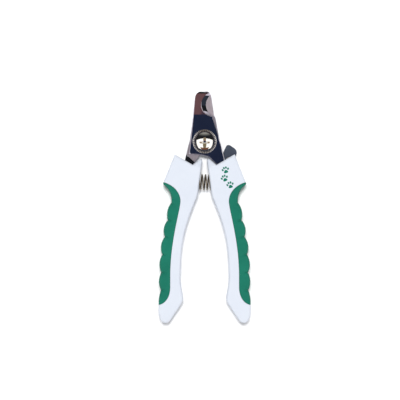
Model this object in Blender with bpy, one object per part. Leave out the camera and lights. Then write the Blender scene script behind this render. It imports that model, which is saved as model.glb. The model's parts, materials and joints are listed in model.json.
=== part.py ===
"""Pet nail trimmer, closed and lying flat on its back: two crossed blades on a domed pivot screw,
two-shell plastic handles with moulded-over grips, a return spring and a thumb lock.

Run it with: blender --background --python part.py

World frame: +Z up towards the viewer of the front face, +Y towards the blade tips, origin under the
middle of the whole trimmer. Plan dimensions are millimetres measured from the blade pivot, heights
are millimetres above the table. Right means +X.
"""
import math

import bmesh
import bpy
from mathutils import Matrix, Vector

MM = 0.001

# Frame
PIVOT_Y = 42.17           # from the middle of the trimmer to the blade pivot

# Heights
HANDLE_THICKNESS = 14.0
MID_Z = HANDLE_THICKNESS / 2
BLADE_THICKNESS = 2.4
GAP = 0.3                 # between two pieces that face each other
RUNNING = 0.1             # radial clearance of a pin in a moving piece
REAR_BLADE_Z = MID_Z - GAP / 2 - BLADE_THICKNESS
FRONT_BLADE_Z = MID_Z + GAP / 2
TANG_Z = MID_Z - BLADE_THICKNESS / 2

# Blades
BLADE_LEAN = 2.5          # degrees between the closed blades' heads
REAR_LONGER = 0.7         # the rear blade's tip shows past the front blade's
NOTCH_EDGE = (9.1, 25.4, 8.5)     # centre x, y and radius of the cutting edge, on the blade's inner face
NOTCH_CREST = (5.56, 23.8, 8.1)   # the same where the bevel meets the outer face
NOTCH_SIDES = 72
BEND_NORMAL = (0.69, -0.72)       # across the tang's bend lines, towards the handle
BEND_START = 14.1
BEND_END = 17.4

# Pivot
SHANK_R = 3.0
DOME_R = 5.85
DOME_HEIGHT = 2.6
RING_R = 7.9
RING_THICKNESS = 1.2
RING_RIDGES = 44
WASHER_R = 5.2
WASHER_THICKNESS = 0.6
NUT_R = 5.0
NUT_THICKNESS = 2.4

# Handles
EDGE_ROUND = 0.6
HORN_SLOPE = 0.24         # fall of the horn's sloping facet per millimetre from its crease
HORN_CREASE = (2.5, -17.8)        # inner end; the outer end is the vee
CORE_HALF = 3.6           # half height of the core that the grip wraps
TANG_PIN_R = 2.0
TANG_PIN_REACH = 5.0      # each way from the middle plane
TANG_PINS = ((13.2, -38.0), (16.8, -58.0))
RIB_POCKETS = ((-73.0, -79.5), (-81.5, -88.5), (-90.5, -97.0))

# Return spring
SPRING_Y = -26.3
SPRING_R = 4.85           # to the middle of the wire
SPRING_WIRE_R = 0.5
SPRING_TURNS = 7.5
SPRING_HALF = 8.0
SEAT_BOTTOM = 9.6         # bottom of each handle's spring pocket, from the middle plane
SEAT_FLANGE = 1.0
SEAT_FLANGE_R = 5.2
SEAT_SPIGOT_R = 3.8
SEAT_SPIGOT = 3.0

# Lock lever
LOCK_X = 16.3
LOCK_Y = -12.9
LOCK_PIN_R = 1.5
LEVER_Z = 3.6
LEVER_THICKNESS = 1.9
LEVER_HUB_R = 3.2
TOOTH_CLEAR_R = 12.55     # from the blade pivot; the rear blade's heel turns at 12.15


# ---------------------------------------------------------------- plan curves

def bezier(start, grip_a, grip_b, end, steps):
    """Points of a cubic curve after its start."""
    points = []
    for i in range(1, steps + 1):
        t = i / steps
        weights = ((1 - t) ** 3, 3 * t * (1 - t) ** 2, 3 * t * t * (1 - t), t ** 3)
        corners = (start, grip_a, grip_b, end)
        points.append(tuple(sum(w * p[k] for w, p in zip(weights, corners)) for k in (0, 1)))
    return points


def bowed(start, end, sag, steps):
    """Points of a circular arc after its start, bowed by sag to the left of travel."""
    span = math.dist(start, end)
    radius = (span * span / 4 + sag * sag) / (2 * sag)
    left = (-(end[1] - start[1]) / span, (end[0] - start[0]) / span)
    centre = [(start[k] + end[k]) / 2 + left[k] * (sag - radius) for k in (0, 1)]
    first = math.atan2(start[1] - centre[1], start[0] - centre[0])
    turn = 2 * math.asin(span / 2 / radius)
    return [(centre[0] + radius * math.cos(first - turn * i / steps),
             centre[1] + radius * math.sin(first - turn * i / steps)) for i in range(1, steps + 1)]


def around(centre, radius, first_deg, last_deg, steps):
    """Points on a circle from one angle to another, both included."""
    angles = [math.radians(first_deg + (last_deg - first_deg) * i / steps) for i in range(steps + 1)]
    return [(centre[0] + radius * math.cos(a), centre[1] + radius * math.sin(a)) for a in angles]


def shifted(points, distance):
    """An open line moved sideways, to the left of travel."""
    moved = []
    for i, (x, y) in enumerate(points):
        before = points[max(i - 1, 0)]
        after = points[min(i + 1, len(points) - 1)]
        step = distance / math.dist(before, after)
        moved.append((x - step * (after[1] - before[1]), y + step * (after[0] - before[0])))
    return moved


def sided(points, side):
    """Right-hand plan points, mirrored for the left side."""
    return [(side * x, y) for x, y in points]


def turned_plan(points, degrees):
    """Plan points rotated about the blade pivot."""
    c = math.cos(math.radians(degrees))
    s = math.sin(math.radians(degrees))
    return [(x * c - y * s, x * s + y * c) for x, y in points]


# ---------------------------------------------------------------- outlines, right-hand side

SHOULDER = (19.4, -8.0)
FLARE = (26.6, -26.3)
VALLEYS = ((21.4, -39.4), (23.8, -50.8), (25.7, -61.5), (27.3, -73.0), (28.0, -84.5), (28.2, -95.9),
           (29.6, -105.4))
BUMPS = (1.45, 1.6, 1.65, 1.5, 1.35, 0.5)
VEE = (7.3, -14.6)


def grip_outer_edge():
    """The finger side of the handle, from the flare down: a thumb hollow, then a row of bumps."""
    points = [FLARE]
    points += bezier(FLARE, (27.4, -27.6), (25.6, -28.6), (24.6, -29.7), 3)
    points += bezier(points[-1], (22.6, -31.8), (21.4, -34.5), VALLEYS[0], 6)
    for top, bottom, bump in zip(VALLEYS, VALLEYS[1:], BUMPS):
        points += bowed(top, bottom, bump, 6)
    return points


def grip_inner_edge():
    """The line between grip and white shell, from the flare down."""
    points = [FLARE]
    points += bezier(FLARE, (20.5, -28.0), (15.6, -32.5), (15.6, -38.8), 9)
    points += bezier(points[-1], (16.0, -45.5), (22.2, -64), (22.2, -87), 9)
    points += [(22.2, -94.0)]
    points += bezier(points[-1], (22.2, -100.5), (25.5, -104.8), VALLEYS[-1], 6)
    return points


def core_edge():
    """Outer side of the core under the grip, kept a grip wall inside the bumps' valleys."""
    points = [(20.3, -29.0)]
    points += bezier(points[0], (18.6, -31.5), (18.0, -35.5), (18.6, -40.0), 4)
    points += bezier(points[-1], (20.2, -50), (25.4, -70), (25.4, -90), 7)
    points += bezier(points[-1], (25.4, -94.5), (25.2, -97.5), (23.25, -99.8), 3)
    return points


def foot_and_inner_edge():
    """From the bottom of the grip round the foot, up the palm gap to the horn and the vee."""
    points = [VALLEYS[-1]]
    points += bezier(points[-1], (30.2, -110.0), (29.8, -117.1), (25.4, -117.1), 6)
    points += bezier(points[-1], (23.2, -117.1), (22.2, -115.6), (21.4, -114.3), 3)
    points += [(16.2, -106.6)]
    points += bezier(points[-1], (14.2, -103.6), (13.6, -102.6), (14.1, -99.6), 3)
    points += bezier(points[-1], (14.6, -96.5), (15.6, -92), (15.6, -87), 3)
    points += bezier(points[-1], (15.0, -70.0), (15.1, -60.0), (5.1, -36.5), 9)
    points += bezier(points[-1], (3.9, -34.6), (3.9, -31), (3.7, -28.5), 3)
    points += [(1.5, -12.4)]
    points += bezier(points[-1], (1.3, -10.9), (2.3, -10.1), (3.1, -10.7), 4)
    points += [VEE]
    return points


def shell_outline():
    """White shell with its core under the grip."""
    boundary = grip_inner_edge()
    above = [p for p in boundary if p[1] > -29.0]
    below = [p for p in boundary if p[1] < -101.0]
    return [SHOULDER] + above + core_edge() + below + foot_and_inner_edge()[1:]


def grip_outline():
    return grip_outer_edge()[1:-1] + shifted(grip_inner_edge(), GAP)[::-1]


def tang_outline():
    """The part of a blade that runs down inside its handle, from the vee round to the blade's edge."""
    return [(10.3, -21.0), (10.3, -35.0), (14.3, -60.0), (14.9, -63.5), (15.6, -64.6), (18.0, -64.6),
            (18.9, -63.4), (18.4, -58.0), (15.6, -42.0), (15.6, -24.0), (13.6, -16.5)]


def blade_head_outline(longer):
    """A blade's head, from its free heel over the tip to the handle side."""
    points = [(-5.9, 28.0)]
    points += bezier(points[-1], (-5.6, 30.6), (-4.6, 31.9), (-2.4, 32.0), 5)
    points += [(1.8, 31.7)]
    points += bezier(points[-1], (3.6, 31.5), (4.1, 30.6), (4.4, 29.0), 4)
    return [(-9.4, -7.7)] + [(x, y + longer) for x, y in points] + [(9.6, 0.0)]


def blade_outline(lean, longer):
    """A whole blade with its tang in the right handle; lean turns the head about the pivot."""
    head = turned_plan(blade_head_outline(longer), lean)
    under = [(7.4, -14.4), (4.1, -11.2)] + bezier((4.1, -11.2), (2.5, -9.0), (-2.0, -7.7), head[0], 7)[:-1]
    return head + [(12.0, -11.5)] + tang_outline()[::-1] + under


def lever_outline():
    """Lock lever seen from the front: thumb tab, hub round the pin, hooked arm behind the front blade."""
    points = [(12.2, -7.0), (14.0, -2.9)]
    points += bezier(points[-1], (14.5, -2.0), (15.8, -1.9), (16.8, -2.6), 4)
    points += [(19.2, -4.2)]
    points += bezier(points[-1], (20.8, -5.4), (21.3, -7.2), (20.4, -8.4), 5)
    points += around((LOCK_X, LOCK_Y), LEVER_HUB_R, -8.0, -135.0, 9)
    points += [(10.6, -15.4), (9.3, -14.2), (9.0, -12.0)]
    points += around((0.0, 0.0), TOOTH_CLEAR_R, -46.0, -40.5, 2)
    points += [(10.5, -8.3), (11.0, -12.6), (11.9, -13.3), (13.2, -12.9), (13.4, -11.6)]
    return points


def lever_slot_outline():
    """Room for the lever's whole swing inside the handle's back shell."""
    points = [(8.7, -8.0), (8.7, -15.0), (9.9, -17.6), (12.2, -18.2)]
    points += around((LOCK_X, LOCK_Y), LEVER_HUB_R + 0.5, 245.0, 352.0, 8)
    points += [(21.2, -8.2), (19.0, 0.0), (11.0, 0.0)]
    return points


# ---------------------------------------------------------------- solids

def add_object(name, mesh, parent=None, location=(0.0, 0.0, 0.0)):
    made = bpy.data.objects.new(name, mesh)
    bpy.context.scene.collection.objects.link(made)
    made.location = location
    if parent:
        made.parent = parent
    return made


def add_axis(name, x, y, parent=None):
    """An empty on a joint's axis, for the pieces that turn about it."""
    empty = add_object(name, None, parent, (x * MM, y * MM, 0.0))
    empty.empty_display_size = 0.01
    return empty


def finish(bm, name, parent, origin=(0.0, 0.0)):
    """Turn a bmesh in plan millimetres into an object whose origin is the given plan point."""
    bmesh.ops.recalc_face_normals(bm, faces=bm.faces)
    bmesh.ops.transform(bm, matrix=Matrix.Scale(MM, 4) @ Matrix.Translation((-origin[0], -origin[1], 0.0)),
                        verts=bm.verts)
    mesh = bpy.data.meshes.new(name)
    bm.to_mesh(mesh)
    bm.free()
    return add_object(name, mesh, parent)


def raise_outline(bm, outline, low, high):
    """Extrude a plan outline between two heights."""
    floor = bm.faces.new([bm.verts.new((x, y, low)) for x, y in outline])
    roof = bmesh.ops.extrude_face_region(bm, geom=[floor])["geom"]
    for item in roof:
        if isinstance(item, bmesh.types.BMVert):
            item.co.z = high


def prism(name, parent, outline, low, high, rounded=(), width=EDGE_ROUND, origin=(0.0, 0.0)):
    """A plate of any outline; rounded lists the heights whose rim edges get a bevel."""
    bm = bmesh.new()
    raise_outline(bm, outline, low, high)
    weight = bm.edges.layers.float.new("bevel_weight_edge")
    for edge in bm.edges:
        heights = {round(v.co.z, 4) for v in edge.verts}
        edge[weight] = 1.0 if len(heights) == 1 and heights <= {round(h, 4) for h in rounded} else 0.0
    made = finish(bm, name, parent, origin)
    if rounded:
        bevel = made.modifiers.new("rim", "BEVEL")
        bevel.limit_method = "WEIGHT"
        bevel.width = width * MM
        bevel.segments = 2
        bevel.use_clamp_overlap = False
    return made


def revolve(bm, profile, steps, lift=None):
    """Turn a closed (radius, height) profile about +Z; a zero radius becomes a pole.

    lift(step, index) adds to one profile point's height at one step."""
    rows = []
    for index, (radius, height) in enumerate(profile):
        if radius == 0.0:
            rows.append([bm.verts.new((0.0, 0.0, height))])
            continue
        row = []
        for step in range(steps):
            angle = 2 * math.pi * step / steps
            extra = lift(step, index) if lift else 0.0
            row.append(bm.verts.new((radius * math.cos(angle), radius * math.sin(angle), height + extra)))
        rows.append(row)
    for upper, lower in zip(rows, rows[1:] + rows[:1]):
        for step in range(steps):
            ahead = (step + 1) % steps
            corners = [upper[step % len(upper)], upper[ahead % len(upper)],
                       lower[ahead % len(lower)], lower[step % len(lower)]]
            corners = list(dict.fromkeys(corners))
            if len(corners) > 2:
                bm.faces.new(corners)


def turned_piece(name, parent, profile, centre=(0.0, 0.0), steps=32, axis="Z", lift=None):
    """A lathe-turned solid on a vertical axis at centre, or on the spring's axis."""
    bm = bmesh.new()
    revolve(bm, profile, steps, lift)
    if axis == "X":
        bmesh.ops.rotate(bm, matrix=Matrix.Rotation(math.pi / 2, 3, "Y"), verts=bm.verts)
        bmesh.ops.translate(bm, vec=(0.0, SPRING_Y, MID_Z), verts=bm.verts)
    else:
        bmesh.ops.translate(bm, vec=(centre[0], centre[1], 0.0), verts=bm.verts)
    made = finish(bm, name, parent)
    made.data.shade_smooth()
    made.data.set_sharp_from_angle(angle=math.radians(35))
    return made


def rod_profile(radius, low, high, chamfer=0.0):
    if not chamfer:
        return [(0.0, low), (radius, low), (radius, high), (0.0, high)]
    return [(0.0, low), (radius - chamfer, low), (radius, low + chamfer), (radius, high - chamfer),
            (radius - chamfer, high), (0.0, high)]


def ring_profile(inner, outer, low, high):
    return [(inner, low), (outer, low), (outer, high), (inner, high)]


def cut(target, cutter):
    """Subtract a cutter, which stays hidden."""
    cutter.hide_render = True
    cutter.display_type = "WIRE"
    step = target.modifiers.new(cutter.name, "BOOLEAN")
    step.operation = "DIFFERENCE"
    step.solver = "EXACT"
    step.object = cutter


def paint(made, colour, roughness, metallic=0.0):
    """Give one node its own Principled material."""
    material = bpy.data.materials.new(made.name)
    material.use_nodes = True
    shader = material.node_tree.nodes["Principled BSDF"]
    shader.inputs["Base Color"].default_value = (*colour, 1.0)
    shader.inputs["Roughness"].default_value = roughness
    shader.inputs["Metallic"].default_value = metallic
    made.data.materials.append(material)
    made.color = (*colour, 1.0)


WHITE = (0.80, 0.84, 0.90)
GREEN = (0.014, 0.216, 0.141)
POLISHED = (0.62, 0.63, 0.66)
STEEL = (0.45, 0.44, 0.43)
DARK = (0.06, 0.07, 0.09)


# ---------------------------------------------------------------- blades and pivot

def bend_tang(bm, side, drop):
    """Joggle the tang to the handle's middle plane between two bend lines."""
    normal = Vector((side * BEND_NORMAL[0], BEND_NORMAL[1], 0.0)).normalized()
    for reach in (BEND_START, BEND_END):
        bmesh.ops.bisect_plane(bm, geom=bm.verts[:] + bm.edges[:] + bm.faces[:],
                               plane_co=normal * reach, plane_no=normal)
    for vert in bm.verts:
        along = (vert.co.x * normal.x + vert.co.y * normal.y - BEND_START) / (BEND_END - BEND_START)
        vert.co.z += drop * min(max(along, 0.0), 1.0)


def notch_cutter(name, parent, side, lean, inner_z, outer_z):
    """A slanting cone through the blade: the cutting edge on its inner face, the crest on its outer."""
    past = (outer_z - inner_z) * 0.2
    rings = []
    bm = bmesh.new()
    for share, height in ((-0.2, inner_z - past), (1.2, outer_z + past)):
        cx, cy, radius = (a + (b - a) * share for a, b in zip(NOTCH_EDGE, NOTCH_CREST))
        outline = turned_plan(around((cx, cy), radius, 0.0, 360.0, NOTCH_SIDES)[:-1], lean)
        rings.append([bm.verts.new((side * x, y, height)) for x, y in outline])
    bm.faces.new(rings[0])
    bm.faces.new(rings[1])
    for i in range(NOTCH_SIDES):
        j = (i + 1) % NOTCH_SIDES
        bm.faces.new([rings[0][i], rings[0][j], rings[1][j], rings[1][i]])
    return finish(bm, name, parent)


def make_blade(name, parent, side, lean, longer, outer_z, inner_z):
    """One blade with its tang, pivot hole, bevelled notch and pin holes."""
    low = min(outer_z, inner_z)
    bm = bmesh.new()
    raise_outline(bm, sided(blade_outline(lean, longer), side), low, low + BLADE_THICKNESS)
    bmesh.ops.recalc_face_normals(bm, faces=bm.faces)
    bend_tang(bm, side, TANG_Z - low)
    blade = finish(bm, name, parent)
    cut(blade, notch_cutter(name + "_notch", parent, side, lean, inner_z, outer_z))
    hole_r = SHANK_R + RUNNING
    cut(blade, turned_piece(name + "_pivot_hole", parent, rod_profile(hole_r, 0.0, 14.0), steps=48))
    for number, (x, y) in enumerate(TANG_PINS, 1):
        hole = turned_piece(f"{name}_pin_hole_{number}", parent, rod_profile(TANG_PIN_R + GAP, 0.0, 14.0),
                            (side * x, y), 24)
        cut(blade, hole)
    paint(blade, POLISHED, 0.12, 1.0)
    return blade


def make_pivot():
    """Domed screw, reeded ring, spring washer and nut, all turned with the left half."""
    front = FRONT_BLADE_Z + BLADE_THICKNESS
    ring_low = front + 0.15
    ring_high = ring_low + RING_THICKNESS
    dome_low = ring_high + 0.1
    washer_high = REAR_BLADE_Z - 0.15
    nut_high = washer_high - WASHER_THICKNESS - 0.1
    nut_low = nut_high - NUT_THICKNESS

    dome = [(DOME_R * math.cos(a), dome_low + 0.3 + DOME_HEIGHT * math.sin(a))
            for a in (math.radians(90.0 * i / 6) for i in range(6))]
    profile = [(0.0, nut_low - 0.3), (SHANK_R - 0.4, nut_low - 0.3), (SHANK_R, nut_low + 0.1),
               (SHANK_R, dome_low), (DOME_R, dome_low)] + dome + [(0.0, dome_low + 0.3 + DOME_HEIGHT)]
    paint(turned_piece("pivot_screw", None, profile, steps=48), (0.80, 0.78, 0.75), 0.06, 1.0)

    ring = [(SHANK_R + GAP, ring_low), (RING_R - 0.2, ring_low), (RING_R, ring_low + 0.3),
            (RING_R - 0.25, ring_high - 0.35), (RING_R - 0.6, ring_high - 0.25),
            (DOME_R + 0.2, ring_high - 0.1), (SHANK_R + GAP, ring_high)]
    ridge = turned_piece("pivot_ring", None, ring, steps=2 * RING_RIDGES,
                         lift=lambda step, index: -0.3 if index in (4, 5) and step % 2 else 0.0)
    paint(ridge, (0.55, 0.52, 0.52), 0.3, 1.0)

    washer = ring_profile(SHANK_R + GAP, WASHER_R, washer_high - WASHER_THICKNESS, washer_high)
    paint(turned_piece("pivot_spring_washer", None, washer), STEEL, 0.35, 1.0)

    nut = prism("pivot_nut", None, around((0.0, 0.0), NUT_R, 0.0, 300.0, 5), nut_low, nut_high,
                (nut_low, nut_high), 0.3)
    cut(nut, turned_piece("pivot_nut_thread", None, rod_profile(SHANK_R + GAP, 0.0, 14.0)))
    paint(nut, STEEL, 0.3, 1.0)


# ---------------------------------------------------------------- handles

def handle_cutters(word, parent, side):
    """What both shells of one handle are hollowed by, as a list of hidden cutters."""
    cutters = []
    tang_room = shifted(tang_outline()[::-1], GAP + 0.05)
    room = [(11.6, -5.0), (12.4, -11.4)] + tang_room + [(7.2, -14.9), (8.0, -9.0)]
    cutters.append(prism(f"{word}_tang_room", parent, sided(room, side), TANG_Z - GAP,
                         TANG_Z + BLADE_THICKNESS + GAP))
    head_z = FRONT_BLADE_Z if side > 0 else REAR_BLADE_Z
    mouth = [(11.6, -5.0), (12.4, -11.4), (14.0, -16.4), (11.5, -18.6), (8.8, -17.6), (7.2, -14.9),
             (8.0, -9.0)]
    cutters.append(prism(f"{word}_tang_mouth", parent, sided(mouth, side), min(TANG_Z, head_z) - GAP,
                         max(TANG_Z, head_z) + BLADE_THICKNESS + GAP))
    bore = [(0.0, -SEAT_BOTTOM), (SPRING_R + 0.9, -SEAT_BOTTOM), (SPRING_R + 0.9, 0.0), (0.0, 0.0)]
    if side > 0:
        bore = [(radius, -height) for radius, height in bore]
    cutters.append(turned_piece(f"{word}_spring_room", parent, bore, steps=32, axis="X"))
    for number, (x, y) in enumerate(TANG_PINS, 1):
        socket = rod_profile(TANG_PIN_R + GAP, MID_Z - TANG_PIN_REACH - GAP, MID_Z + TANG_PIN_REACH + GAP)
        cutters.append(turned_piece(f"{word}_pin_socket_{number}", parent, socket, (side * x, y), 24))
    return cutters


def horn_facet(name, parent, side, face_z, outward):
    """Wedge that slopes a shell's face down from the crease to the horn's tip."""
    along = Vector((VEE[0] - HORN_CREASE[0], VEE[1] - HORN_CREASE[1])).normalized()
    across = Vector((-along.y, along.x))
    section = [(-1.0, HORN_SLOPE), (12.0, -12.0 * HORN_SLOPE), (12.0, 6.0), (-1.0, 6.0)]
    bm = bmesh.new()
    ends = []
    for reach in (-8.0, 14.0):
        foot = Vector(HORN_CREASE) + along * reach
        ends.append([bm.verts.new((side * (foot.x + across.x * out), foot.y + across.y * out,
                                   face_z + outward * rise)) for out, rise in section])
    bm.faces.new(ends[0])
    bm.faces.new(ends[1])
    for i in range(4):
        j = (i + 1) % 4
        bm.faces.new([ends[0][i], ends[0][j], ends[1][j], ends[1][i]])
    return finish(bm, name, parent)


def rib_pockets(word, parent, side):
    """Moulding pockets in the lower handle, with ribs left between them."""
    pockets = []
    for number, (top, bottom) in enumerate(RIB_POCKETS, 1):
        outline = [(18.0, top), (22.2, top), (23.4, bottom), (18.0, bottom)]
        pockets.append(prism(f"{word}_rib_pocket_{number}", parent, sided(outline, side),
                             MID_Z - 3.2, MID_Z + 3.2))
    return pockets


def make_handle(word, parent, side):
    """Front and back shells and the grip that wraps them."""
    cutters = handle_cutters(word, parent, side) + rib_pockets(word, parent, side)
    outline = sided(shell_outline(), side)
    outside = sided(grip_inner_edge() + [(40.0, -105.4), (40.0, -26.3)], side)
    far = 2 * HANDLE_THICKNESS
    front = prism(f"{word}_front_shell", parent, outline, MID_Z + GAP / 2, HANDLE_THICKNESS,
                  (HANDLE_THICKNESS,))
    cut(front, prism(f"{word}_front_rebate", parent, outside, MID_Z + CORE_HALF, far))
    back = prism(f"{word}_back_shell", parent, outline, 0.0, MID_Z - GAP / 2, (0.0,))
    cut(back, prism(f"{word}_back_rebate", parent, outside, -far, MID_Z - CORE_HALF))
    cut(front, horn_facet(f"{word}_front_horn_facet", parent, side, HANDLE_THICKNESS, 1))
    cut(back, horn_facet(f"{word}_back_horn_facet", parent, side, 0.0, -1))
    for cutter in cutters:
        cut(front, cutter)
        cut(back, cutter)
    grip = prism(f"{word}_grip", parent, sided(grip_outline(), side), 0.0, HANDLE_THICKNESS,
                 (0.0, HANDLE_THICKNESS))
    room = shifted(core_edge(), GAP) + [(10.0, -99.8), (10.0, -29.0)]
    cut(grip, prism(f"{word}_grip_room", parent, sided(room, side), MID_Z - CORE_HALF - GAP,
                    MID_Z + CORE_HALF + GAP))
    paint(front, WHITE, 0.28)
    paint(back, WHITE, 0.28)
    paint(grip, GREEN, 0.6)
    for number, (x, y) in enumerate(TANG_PINS, 1):
        pin = turned_piece(f"{word}_tang_pin_{number}", parent,
                           rod_profile(TANG_PIN_R, MID_Z - TANG_PIN_REACH, MID_Z + TANG_PIN_REACH, 0.3),
                           (side * x, y), 24)
        paint(pin, STEEL, 0.35, 1.0)
    return front, back


# ---------------------------------------------------------------- spring

def make_spring_seat(word, parent, side):
    """Flanged peg at the bottom of one handle's spring pocket."""
    base = -(SEAT_BOTTOM - GAP)
    flange = base + SEAT_FLANGE
    tip = flange + SEAT_SPIGOT
    profile = [(0.0, base), (SEAT_FLANGE_R, base), (SEAT_FLANGE_R, flange), (SEAT_SPIGOT_R, flange),
               (SEAT_SPIGOT_R, tip - 0.5), (SEAT_SPIGOT_R - 0.5, tip), (0.0, tip)]
    if side > 0:
        profile = [(radius, -height) for radius, height in profile]
    paint(turned_piece(f"{word}_spring_seat", parent, profile, steps=28, axis="X"), STEEL, 0.4, 1.0)


def make_spring():
    """Round-wire compression spring along X, each end turn laid flat."""
    steps_per_turn = 18
    wire_sides = 6
    steps = round(SPRING_TURNS * steps_per_turn)
    reach = SPRING_HALF - SPRING_WIRE_R - 0.05
    bm = bmesh.new()
    rows = []
    for step in range(steps + 1):
        turn = step / steps_per_turn
        share = min(max((turn - 0.5) / (SPRING_TURNS - 1.0), 0.0), 1.0)
        flat = 2.1 * SPRING_WIRE_R * (min(turn, 0.5) + max(turn - SPRING_TURNS + 0.5, 0.0))
        length = 2 * reach - 2.1 * SPRING_WIRE_R
        centre_x = -reach + flat + share * length
        angle = 2 * math.pi * turn
        outward = Vector((0.0, math.cos(angle), math.sin(angle)))
        middle = Vector((centre_x, SPRING_Y, MID_Z)) + outward * SPRING_R
        ring = []
        for side in range(wire_sides):
            around_wire = 2 * math.pi * side / wire_sides
            offset = outward * math.cos(around_wire) + Vector((1.0, 0.0, 0.0)) * math.sin(around_wire)
            ring.append(bm.verts.new(middle + offset * SPRING_WIRE_R))
        rows.append(ring)
    for first, second in zip(rows, rows[1:]):
        for side in range(wire_sides):
            after = (side + 1) % wire_sides
            bm.faces.new([first[side], first[after], second[after], second[side]])
    bm.faces.new(rows[0])
    bm.faces.new(rows[-1])
    spring = finish(bm, "return_spring", None)
    spring.data.shade_smooth()
    paint(spring, (0.18, 0.14, 0.09), 0.3, 1.0)


# ---------------------------------------------------------------- lock

def make_lock(handle_axis, right_shells):
    """Lever on its pin in the right handle's shoulder, with a friction washer over it."""
    lock_axis = add_axis("lock_pivot_axis", LOCK_X, LOCK_Y, handle_axis)
    lever_high = LEVER_Z + LEVER_THICKNESS
    lever = prism("lock_lever", lock_axis, lever_outline(), LEVER_Z, lever_high, (LEVER_Z, lever_high), 0.3,
                  (LOCK_X, LOCK_Y))
    hole = turned_piece("lock_lever_hole", handle_axis, rod_profile(LOCK_PIN_R + RUNNING, 0.0, 14.0),
                        (LOCK_X, LOCK_Y), 40)
    cut(lever, hole)
    paint(lever, DARK, 0.45)
    slot = prism("lever_slot", handle_axis, lever_slot_outline(), LEVER_Z - GAP, MID_Z)
    pin_socket = turned_piece("lock_pin_socket", handle_axis, rod_profile(LOCK_PIN_R + GAP, 1.7, 12.3),
                              (LOCK_X, LOCK_Y), 24)
    cut(right_shells[1], slot)
    cut(right_shells[0], pin_socket)
    cut(right_shells[1], pin_socket)
    pin = turned_piece("lock_pin", handle_axis, rod_profile(LOCK_PIN_R, 2.0, 12.0, 0.2), (LOCK_X, LOCK_Y),
                       40)
    paint(pin, STEEL, 0.35, 1.0)
    washer = ring_profile(LOCK_PIN_R + GAP, 3.0, lever_high + 0.15, lever_high + 0.95)
    paint(turned_piece("lock_friction_washer", handle_axis, washer, (LOCK_X, LOCK_Y), 28), STEEL, 0.4, 1.0)


# ---------------------------------------------------------------- the trimmer

def main():
    for old in list(bpy.data.objects):
        bpy.data.objects.remove(old, do_unlink=True)
    fixed_axis = add_axis("left_half_frame", 0.0, PIVOT_Y)
    handle_axis = add_axis("handle_pivot_axis", 0.0, PIVOT_Y)
    make_blade("rear_blade", fixed_axis, -1, -BLADE_LEAN, REAR_LONGER, REAR_BLADE_Z,
               REAR_BLADE_Z + BLADE_THICKNESS)
    make_blade("front_blade", handle_axis, 1, 0.0, 0.0, FRONT_BLADE_Z + BLADE_THICKNESS, FRONT_BLADE_Z)
    make_pivot()
    make_handle("left", fixed_axis, -1)
    right_shells = make_handle("right", handle_axis, 1)
    make_spring_seat("left", fixed_axis, -1)
    make_spring_seat("right", handle_axis, 1)
    make_spring()
    make_lock(handle_axis, right_shells)
    for made in bpy.data.objects:
        if made.type == "MESH" and made.parent is None:
            made.parent = fixed_axis


main()
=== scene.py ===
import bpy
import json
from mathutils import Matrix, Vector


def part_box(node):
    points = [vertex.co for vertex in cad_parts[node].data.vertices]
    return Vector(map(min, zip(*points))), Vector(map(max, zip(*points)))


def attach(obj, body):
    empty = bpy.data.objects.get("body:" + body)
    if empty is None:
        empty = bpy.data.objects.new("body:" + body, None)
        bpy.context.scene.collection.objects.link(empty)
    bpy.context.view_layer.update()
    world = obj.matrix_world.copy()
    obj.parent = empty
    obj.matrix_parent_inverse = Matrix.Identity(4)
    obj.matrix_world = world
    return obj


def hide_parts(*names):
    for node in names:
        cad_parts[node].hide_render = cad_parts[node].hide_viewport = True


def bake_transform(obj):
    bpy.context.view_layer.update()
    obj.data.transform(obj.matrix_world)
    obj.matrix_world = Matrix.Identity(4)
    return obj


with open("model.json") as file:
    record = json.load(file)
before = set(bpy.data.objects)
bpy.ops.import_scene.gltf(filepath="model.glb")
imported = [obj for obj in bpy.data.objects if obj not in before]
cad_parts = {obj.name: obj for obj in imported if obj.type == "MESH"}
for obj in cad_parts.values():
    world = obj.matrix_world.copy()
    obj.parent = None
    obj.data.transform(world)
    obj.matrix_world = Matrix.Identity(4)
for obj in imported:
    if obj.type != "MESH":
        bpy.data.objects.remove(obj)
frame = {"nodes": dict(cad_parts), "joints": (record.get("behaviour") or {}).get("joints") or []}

"""Looks of the pet nail trimmer: fine meshes, materials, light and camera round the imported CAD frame.

Plan dimensions are millimetres measured from the blade pivot, heights are millimetres above the
table, as in the CAD. Right means +X. Outlines are drawn for the right half and mirrored for the left.
"""
import json
import math

import bmesh
import bpy
import numpy as np
from mathutils import Matrix, Vector
from mathutils.geometry import delaunay_2d_cdt

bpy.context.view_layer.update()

MM = 0.001
JOINTS = {joint["name"]: joint for joint in frame["joints"]}
PIVOT = Vector(JOINTS["handle_pivot"]["pos_m"])
LOCK_AXIS = (Vector(JOINTS["lock_pivot"]["pos_m"]) - PIVOT) / MM
LOCK = (LOCK_AXIS.x, LOCK_AXIS.y)

# Heights
TOP_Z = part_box("right_grip")[1].z / MM
MID_Z = TOP_Z / 2
PRINT_RISE = 0.06         # printed paws stand this far out of the handle's face
FACE_Z = TOP_Z - PRINT_RISE
SPLIT = 0.07              # half the line between front and back shells
SPLIT_R = 0.15            # rounding of the shells along it
BLADE_THICKNESS = 2.4
REAR_BLADE_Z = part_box("rear_blade")[0].z / MM
FRONT_BLADE_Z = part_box("front_blade")[1].z / MM - BLADE_THICKNESS
TANG_Z = MID_Z - BLADE_THICKNESS / 2

CURVE_STEP = 0.55         # length of one edge along a plan outline

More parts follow.
